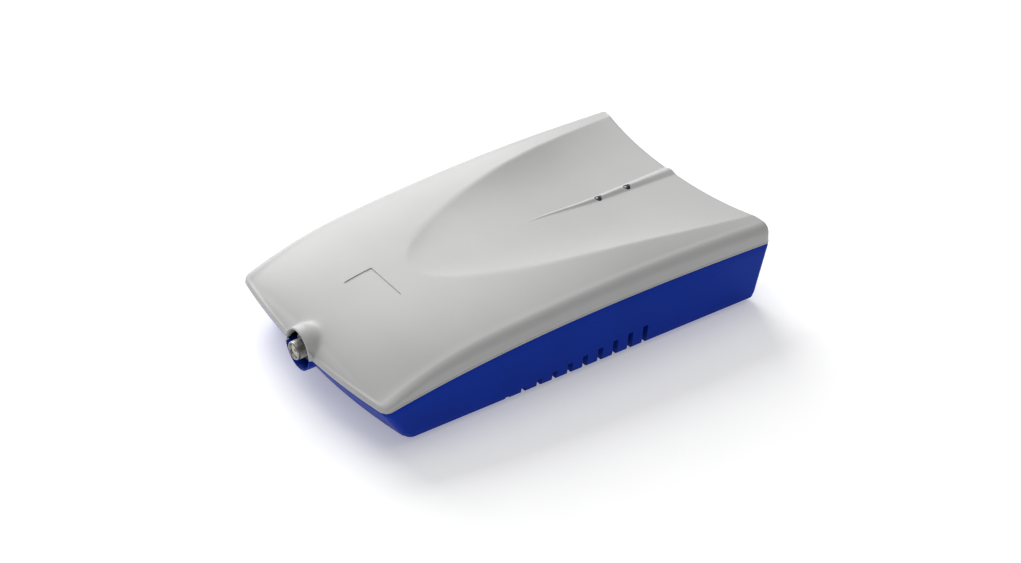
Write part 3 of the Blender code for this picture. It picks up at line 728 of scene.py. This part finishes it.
class Surface:
    """A Principled material with a few linked noise nodes."""

    def __init__(self, name, roughness, metallic=0.0, specular=0.5):
        self.mat = bpy.data.materials.new(name)
        self.mat.use_nodes = True
        self.tree = self.mat.node_tree
        self.shader = self.tree.nodes["Principled BSDF"]
        self.shader.inputs["Roughness"].default_value = roughness
        self.shader.inputs["Metallic"].default_value = metallic
        self.shader.inputs["Specular IOR Level"].default_value = specular
        self.coords = self.tree.nodes.new("ShaderNodeTexCoord")

    def noise(self, scale, detail=3.0):
        node = self.tree.nodes.new("ShaderNodeTexNoise")
        node.inputs["Scale"].default_value = scale
        node.inputs["Detail"].default_value = detail
        self.tree.links.new(self.coords.outputs["Object"], node.inputs["Vector"])
        return node.outputs["Fac"]

    def spread(self, value, low, high):
        node = self.tree.nodes.new("ShaderNodeMapRange")
        node.inputs["From Min"].default_value = NOISE_RANGE[0]
        node.inputs["From Max"].default_value = NOISE_RANGE[1]
        node.inputs["To Min"].default_value = low
        node.inputs["To Max"].default_value = high
        self.tree.links.new(value, node.inputs["Value"])
        return node.outputs["Result"]

    def colour(self, value, dark, light):
        node = self.tree.nodes.new("ShaderNodeValToRGB")
        node.color_ramp.elements[0].position = NOISE_RANGE[0]
        node.color_ramp.elements[1].position = NOISE_RANGE[1]
        node.color_ramp.elements[0].color = (*dark, 1)
        node.color_ramp.elements[1].color = (*light, 1)
        self.tree.links.new(value, node.inputs["Fac"])
        self.tree.links.new(node.outputs["Color"], self.shader.inputs["Base Color"])

    def roughness(self, value, low, high):
        self.tree.links.new(self.spread(value, low, high), self.shader.inputs["Roughness"])

    def bump(self, value, distance):
        node = self.tree.nodes.new("ShaderNodeBump")
        node.inputs["Strength"].default_value = 1.0
        node.inputs["Distance"].default_value = distance
        self.tree.links.new(value, node.inputs["Height"])
        self.tree.links.new(node.outputs["Normal"], self.shader.inputs["Normal"])


def shade(color, factor):
    return tuple(channel * factor for channel in color)


def moulded(name, color, roughness, grain=2600, depth=0.00002, contrast=0.05, specular=0.5):
    """Moulded plastic: spark-eroded grain, faint cloudiness, uneven gloss."""
    surface = Surface(name, roughness, specular=specular)
    surface.colour(surface.noise(CLOUD_SCALE, 4), shade(color, 1 - contrast),
                   shade(color, 1 + contrast))
    surface.roughness(surface.noise(grain * 0.5), roughness - 0.06, roughness + 0.06)
    surface.bump(surface.noise(grain, 2), depth)
    return surface.mat


def metal(name, color, roughness):
    """Plated or rolled metal with a faintly mottled gloss."""
    surface = Surface(name, roughness, metallic=1.0)
    surface.colour(surface.noise(METAL_CLOUD_SCALE, 4), shade(color, 0.93),
                   shade(color, 1.04))
    surface.roughness(surface.noise(METAL_GRAIN), roughness - 0.04, roughness + 0.05)
    surface.bump(surface.noise(METAL_GRAIN * 2, 2), METAL_DEPTH)
    return surface.mat


def board_material():
    """Green solder mask over a network of raised tracks."""
    surface = Surface("board_mask", 0.35)
    cells = surface.tree.nodes.new("ShaderNodeTexVoronoi")
    cells.feature = "DISTANCE_TO_EDGE"
    cells.distance = "MANHATTAN"
    cells.inputs["Scale"].default_value = 320
    surface.tree.links.new(surface.coords.outputs["Object"], cells.inputs["Vector"])
    surface.colour(cells.outputs["Distance"], (0.02, 0.17, 0.07), (0.008, 0.09, 0.035))
    surface.bump(cells.outputs["Distance"], 0.00004)
    return surface.mat


def label_material():
    """Pale film with a printed, empty ruled table."""
    surface = Surface("label_film", 0.4)
    rules = surface.tree.nodes.new("ShaderNodeTexBrick")
    rules.offset = 0.0
    rules.inputs["Color1"].default_value = (0.60, 0.60, 0.58, 1)
    rules.inputs["Color2"].default_value = (0.64, 0.64, 0.63, 1)
    rules.inputs["Mortar"].default_value = (0.03, 0.03, 0.035, 1)
    rules.inputs["Scale"].default_value = 60
    rules.inputs["Mortar Size"].default_value = 0.012
    rules.inputs["Brick Width"].default_value = 1.3
    rules.inputs["Row Height"].default_value = 0.42
    surface.tree.links.new(surface.coords.outputs["Object"], rules.inputs["Vector"])
    surface.tree.links.new(rules.outputs["Color"], surface.shader.inputs["Base Color"])
    surface.roughness(surface.noise(900), 0.34, 0.5)
    surface.bump(surface.noise(1500, 2), 0.00001)
    return surface.mat


def paint_nodes(materials):
    """Give each CAD node that stays in view the material of its slot."""
    slots = {row["node"]: row["material_slot"] for row in frame["record"]["subparts"]}
    for node, item in frame["nodes"].items():
        item.data.materials.clear()
        item.data.materials.append(materials[slots[node]])
        for polygon in item.data.polygons:
            polygon.use_smooth = True
            polygon.material_index = 0
        item.data.set_sharp_from_angle(angle=math.radians(35))


def make_materials():
    return {
        "cover_plastic": moulded("cover_plastic", (0.48, 0.48, 0.477), 0.45, contrast=0.015,
                                 specular=0.25),
        "shell_plastic": moulded("shell_plastic", (0.0008, 0.028, 0.33), 0.4, contrast=0.06,
                                 specular=0.05),
        # the nickel's base colour is set far darker than plated nickel: painted shade and
        # painted dark reflections for the metal deep in the port tunnel
        "nickel": metal("nickel", (0.30, 0.29, 0.272), 0.3),
        "white_plastic": moulded("white_plastic", (0.70, 0.68, 0.62), 0.45),
        "gold_contact": metal("gold_contact", (0.85, 0.60, 0.22), 0.24),
        "board": board_material(),
        "tinplate": metal("tinplate", (0.66, 0.67, 0.68), 0.32),
        "black_plastic": moulded("black_plastic", (0.018, 0.018, 0.02), 0.5),
        "black_alloy": metal("black_alloy", (0.05, 0.05, 0.055), 0.42),
        "thermal_pad": moulded("thermal_pad", (0.30, 0.33, 0.37), 0.8),
        "led_body": moulded("led_body", (0.78, 0.76, 0.66), 0.35),
        "smoked_lens": moulded("smoked_lens", (0.012, 0.012, 0.014), 0.12, depth=0.000004),
        "screw_steel": metal("screw_steel", (0.52, 0.52, 0.53), 0.33),
        "foot_rubber": moulded("foot_rubber", (0.022, 0.022, 0.022), 0.82, contrast=0.2),
        "label_paper": label_material(),
    }


# Coaxial port ---------------------------------------------------------------

def threaded_barrel():
    """Barrel with a helical thread and a plain, chamfered nose."""
    sides = 48
    samples = 8
    thread_start, thread_end = BARREL_FRONT + 1.0, BULKHEAD_FRONT + 1.5
    steps = int((thread_end - thread_start) / THREAD_PITCH * samples)
    bm = bmesh.new()

    def circle(x, radius):
        ring = []
        for k in range(sides):
            angle = 2 * math.pi * k / sides
            r = radius(angle) if callable(radius) else radius
            ring.append(bm.verts.new((x, r * math.cos(angle), PORT_Z + r * math.sin(angle))))
        return ring

    def thread(x):
        def radius(angle):
            phase = ((x - thread_start) / THREAD_PITCH + angle / (2 * math.pi)) % 1.0
            valley = 1 - abs(phase * 2 - 1)
            ease = min(1.0, (x - thread_start) / THREAD_PITCH)
            return BARREL_RADIUS - THREAD_DEPTH * ease * smooth_step(valley * 1.3 - 0.15)
        return radius

    bore = 3.6
    rings = [circle(BARREL_FRONT + 10, bore), circle(BARREL_FRONT + 0.35, bore),
             circle(BARREL_FRONT, bore + 0.35), circle(BARREL_FRONT, BARREL_RADIUS - 0.55),
             circle(BARREL_FRONT + 0.3, BARREL_RADIUS - 0.25)]
    for i in range(steps + 1):
        x = thread_start + (thread_end - thread_start) * i / steps
        rings.append(circle(x, thread(x)))
    rings.append(circle(TUNNEL_BACK + 1.5, BARREL_RADIUS - 0.2))
    for a, b in zip(rings, rings[1:]):
        bridge(bm, a, b)
    bm.faces.new(rings[0])
    bm.faces.new(rings[-1])
    return bm


def build_port(mat):
    """Threaded barrel joined to the square block behind the bulkhead."""
    barrel = new_object("coax_threaded_barrel", threaded_barrel(), mat)
    bm = bmesh.new()
    add_box(bm, (TUNNEL_BACK + GAP, -BLOCK_HALF_WIDTH, BLOCK_Z[0]),
            (BLOCK_BACK, BLOCK_HALF_WIDTH, BLOCK_Z[1]))
    bmesh.ops.bevel(bm, geom=bm.edges[:], offset=BLOCK_BEVEL, segments=3, profile=0.5,
                    affect="EDGES")
    combine(barrel, bm, "UNION")
    smooth(barrel, 50)
    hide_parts("coax_connector")
    return barrel


# Small hardware -------------------------------------------------------------

def lathe(profile, base, axis="Z", sides=48):
    """Closed turned body from (radius, height) points, from axis to axis."""
    bm = bmesh.new()
    rings = []
    for radius, height in profile:
        if radius < 1e-6:
            rings.append([bm.verts.new((0, 0, height))])
            continue
        ring = []
        for k in range(sides):
            angle = 2 * math.pi * k / sides
            ring.append(bm.verts.new((radius * math.cos(angle),
                                      radius * math.sin(angle), height)))
        rings.append(ring)
    for a, b in zip(rings, rings[1:]):
        for k in range(sides):
            j = (k + 1) % sides
            if len(a) == 1:
                bm.faces.new((a[0], b[j], b[k]))
            elif len(b) == 1:
                bm.faces.new((a[k], a[j], b[0]))
            else:
                bm.faces.new((a[k], a[j], b[j], b[k]))
    bm.transform(Matrix.Translation(base) @ AXES[axis])
    return bm


def arc(centre, radius, start, end, steps=6):
    """Points of a circular arc in the profile plane, angles in degrees."""
    points = []
    for i in range(steps + 1):
        angle = math.radians(start + (end - start) * i / steps)
        points.append((centre[0] + radius * math.cos(angle),
                       centre[1] + radius * math.sin(angle)))
    return points


def local_box(node):
    """Centre, low and high corners of a CAD node in the body's millimetres."""
    low, high = (TO_WORLD.inverted() @ Vector(corner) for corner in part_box(node))
    return (low + high) / 2, low, high


def build_nut(mat):
    """Hexagonal nut with chamfered corners and a chamfered bore."""
    middle, low, high = local_box("coax_hex_nut")
    corner = max(high.y - low.y, high.z - low.z) / 2
    bm = bmesh.new()
    add_rod(bm, low.lerp(Vector((low.x, high.y, high.z)), 0.5), high.x - low.x,
            corner, "X", 6)
    nut = new_object("coax_chamfered_nut", bm, mat)
    flat = corner * math.cos(math.pi / 6)
    reach = (high.x - low.x) / 2
    cone = [(0, -reach), (flat * 1.01, -reach), (corner * 1.001, -reach * 0.6),
            (corner * 1.001, reach * 0.6), (flat * 1.01, reach), (0, reach)]
    combine(nut, lathe(cone, middle, "X", 72), "INTERSECT")
    hole = BARREL_RADIUS + GAP
    bore = [(0, -reach - 1), (hole + 1.6, -reach - 1), (hole, -reach + 0.6),
            (hole, reach - 0.6), (hole + 1.6, reach + 1), (0, reach + 1)]
    combine(nut, lathe(bore, middle, "X", 72))
    smooth(nut, 25)
    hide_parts("coax_hex_nut")
    return nut


def build_case_screw(number, mat):
    """Pan-head screw, head down, with a cross recess and ring grooves for a thread."""
    name = f"case_screw_{number}"
    middle, low, high = local_box(name)
    head = (high.x - low.x) / 2
    shaft = 1.3
    core = shaft * 0.78
    groove_count, groove_pitch = 9, 1.1
    neck = low.z + 2.2 - 0.5
    profile = [(0, high.z), (shaft * 0.5, high.z - 0.6), (shaft, high.z - 1.6)]
    for groove in range(groove_count):
        root = high.z - 1.9 - groove * groove_pitch
        profile += [(shaft, root), (core, root - 0.3), (core, root - 0.6)]
    profile += [(shaft, neck), (head - 0.1, neck)]
    profile += arc((head - 1.0, low.z + 1.0), 1.0, 0, -90)
    profile += [(0, low.z)]
    screw = new_object(f"{name}_head", lathe(profile, (middle.x, middle.y, 0)), mat)
    long, narrow = head * 0.62, 0.32
    for reach_x, reach_y in ((long, narrow), (narrow, long)):
        bm = bmesh.new()
        add_box(bm, (middle.x - reach_x, middle.y - reach_y, low.z - 1),
                (middle.x + reach_x, middle.y + reach_y, low.z + 0.9))
        combine(screw, bm)
    smooth(screw)
    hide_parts(name)
    return screw


def build_foot(number, mat):
    """Rubber foot with a rounded edge and a moulded ring groove."""
    name = f"rubber_foot_{number}"
    middle, low, high = local_box(name)
    radius = (high.x - low.x) / 2
    bottom = low.z
    profile = [(0, high.z), (radius, high.z), (radius, bottom + 0.6)]
    profile += arc((radius - 0.6, bottom + 0.6), 0.6, 0, -90)
    profile += [(radius * 0.66, bottom), (radius * 0.62, bottom + 0.2),
                (radius * 0.46, bottom + 0.2), (radius * 0.42, bottom), (0, bottom)]
    foot = new_object(f"{name}_moulded", lathe(profile, (middle.x, middle.y, 0)), mat)
    smooth(foot, 30)
    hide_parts(name)
    return foot


def build_lens(name, mat):
    """Light pipe whose visible end is a shallow dome."""
    node = f"light_pipe_{name}"
    middle, low, high = local_box(node)
    collar = (high.x - low.x) / 2
    radius = LIGHT_RADIUS - GAP
    shelf = cover_height(middle.x, LIGHT_Y) - WALL * 2
    profile = [(0, high.z)] + [(radius * f, high.z - 0.35 * f * f) for f in
                               (0.2, 0.4, 0.6, 0.8, 0.92)]
    profile += [(radius, high.z - 0.6), (radius, shelf), (collar, shelf),
                (collar, shelf - 1.2), (radius, shelf - 1.2), (radius, low.z), (0, low.z)]
    lens = new_object(f"{node}_domed", lathe(profile, (middle.x, middle.y, 0)), mat)
    smooth(lens)
    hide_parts(node)
    return lens


SPRING_COUNT = 8


def build_springs(mat):
    """Row of eight bent contact wires in the Ethernet socket."""
    middle, low, high = local_box("ethernet_contacts")
    pitch, wide, thick = 1.02, 0.22, 0.3
    bm = bmesh.new()
    path = [(low.x, high.z - 0.3), (low.x + 0.9, high.z - 0.3), (low.x + 1.5, high.z - 0.9),
            (high.x - 0.3, low.z + 1.3), (high.x - 0.2, low.z + 0.7), (low.x, low.z + 0.4)]
    for i in range(SPRING_COUNT):
        y = middle.y + pitch * (i - (SPRING_COUNT - 1) / 2)
        rings = []
        for k, (x, z) in enumerate(path):
            before, after = path[max(0, k - 1)], path[min(len(path) - 1, k + 1)]
            along = Vector((after[0] - before[0], 0, after[1] - before[1])).normalized()
            across = Vector((along.z, 0, -along.x)) * thick / 2
            centre = Vector((x, y, z))
            rings.append([bm.verts.new(centre + across * a + Vector((0, wide * b, 0)))
                          for a, b in ((-1, -1), (1, -1), (1, 1), (-1, 1))])
        for a, b in zip(rings, rings[1:]):
            bridge(bm, a, b)
        bm.faces.new(rings[0])
        bm.faces.new(rings[-1])
    add_box(bm, (low.x, middle.y - 5.2, low.z), (low.x + 0.5, middle.y + 5.2, high.z))
    springs = new_object("ethernet_spring_row", bm, mat)
    smooth(springs, 50)
    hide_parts("ethernet_contacts")
    return springs


SOFT_EDGES = {               # bevel widths for CAD nodes that stay in view
    "coax_washer": 0.12, "coax_insulator": 0.2, "coax_contact": 0.25,
    "ethernet_jack": 0.25, "power_jack": 0.2, "power_pin": 0.3, "reset_button": 0.25,
    "reset_switch": 0.2, "shield_lid": 0.4, "shield_frame": 0.15, "heat_sink": 0.2,
    "modem_chip": 0.12, "memory_chip": 0.12, "flash_chip": 0.12, "tuner_chip": 0.12,
    "power_regulator": 0.12, "ethernet_transformer": 0.25, "power_inductor": 0.4,
    "capacitor_1": 0.3, "capacitor_2": 0.3, "capacitor_3": 0.3, "crystal": 0.2,
    "main_pcb": 0.12, "thermal_pad": 0.15, "rating_label": 0.08,
}


def soften_nodes():
    """Bevel the edges of the CAD nodes that stay in view."""
    for node, width in SOFT_EDGES.items():
        mod = frame["nodes"][node].modifiers.new("soft_edge", "BEVEL")
        mod.width = width * MM
        mod.segments = 3
        mod.limit_method = "ANGLE"
        mod.angle_limit = math.radians(40)


# Stage ----------------------------------------------------------------------

CAMERA_AZIMUTH = -34.93
CAMERA_ELEVATION = 34.94
CAMERA_DISTANCE = 1.0841
CAMERA_LENS = 76.91
AIM = Vector((0.00635, 0.00406, 0.00998))    # from the body's own origin
FLOOR_GLOW = 0.3             # keeps the shadows on the floor pale
FLOOR_SIZE = 3.0
WORLD_LIGHT = 0.3
LAMPS = (                    # name, place, size in m and power in W
    ("key_far_side", (0.2, 1.55, 0.95), 1.5, 41),
    ("overhead", (-0.1, 0.1, 1.6), 1.4, 7),
)


def add_camera():
    azimuth, elevation = math.radians(CAMERA_AZIMUTH), math.radians(CAMERA_ELEVATION)
    back = Vector((math.sin(azimuth) * math.cos(elevation),
                   -math.cos(azimuth) * math.cos(elevation), math.sin(elevation)))
    data = bpy.data.cameras.new("camera")
    data.lens = CAMERA_LENS
    data.sensor_width = 36.0
    data.clip_start = 0.01
    camera = bpy.data.objects.new("camera", data)
    camera.location = ORIGIN + AIM + back * CAMERA_DISTANCE
    camera.rotation_euler = back.to_track_quat("Z", "Y").to_euler()
    bpy.context.scene.collection.objects.link(camera)
    bpy.context.scene.camera = camera


def add_area(name, location, size, power):
    """Square lamp that faces the origin."""
    data = bpy.data.lights.new(name, "AREA")
    data.shape = "SQUARE"
    data.size = size
    data.energy = power
    lamp = bpy.data.objects.new(name, data)
    lamp.location = location
    lamp.rotation_euler = Vector(location).to_track_quat("Z", "Y").to_euler()
    bpy.context.scene.collection.objects.link(lamp)


def add_stage():
    bm = bmesh.new()
    bmesh.ops.create_grid(bm, x_segments=8, y_segments=8, size=FLOOR_SIZE)
    mesh = bpy.data.meshes.new("floor")
    bm.to_mesh(mesh)
    bm.free()
    floor = bpy.data.objects.new("floor", mesh)
    floor.location = (0, 0, cad_box[0][2])
    paper = moulded("floor_paper", (0.84, 0.84, 0.84), 0.9, grain=700, contrast=0.01,
                    specular=0.1)
    glow = paper.node_tree.nodes["Principled BSDF"].inputs
    glow["Emission Color"].default_value = (1, 1, 1, 1)
    glow["Emission Strength"].default_value = FLOOR_GLOW
    floor.data.materials.append(paper)
    bpy.context.scene.collection.objects.link(floor)
    world = bpy.data.worlds.new("studio")
    world.use_nodes = True
    background = world.node_tree.nodes["Background"]
    background.inputs["Color"].default_value = (1, 1, 1, 1)
    background.inputs["Strength"].default_value = WORLD_LIGHT
    bpy.context.scene.world = world
    for lamp in LAMPS:
        add_area(*lamp)
    bpy.context.scene.view_settings.view_transform = "Standard"


def build_pieces(materials):
    """Every detailed piece with the slot of its material."""
    builders = [("cover_plastic", build_cover), ("shell_plastic", build_shell),
                ("nickel", build_port), ("nickel", build_nut),
                ("gold_contact", build_springs)]
    builders += [("screw_steel", lambda mat, n=n: build_case_screw(n, mat))
                 for n in range(1, 5)]
    builders += [("foot_rubber", lambda mat, n=n: build_foot(n, mat))
                 for n in range(1, 5)]
    builders += [("smoked_lens", lambda mat, n=n: build_lens(n, mat))
                 for n in ("power", "online")]
    for slot, build in builders:
        piece = build(materials[slot])
        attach(piece, BODY)


materials = make_materials()
paint_nodes(materials)
soften_nodes()
build_pieces(materials)
add_camera()
add_stage()
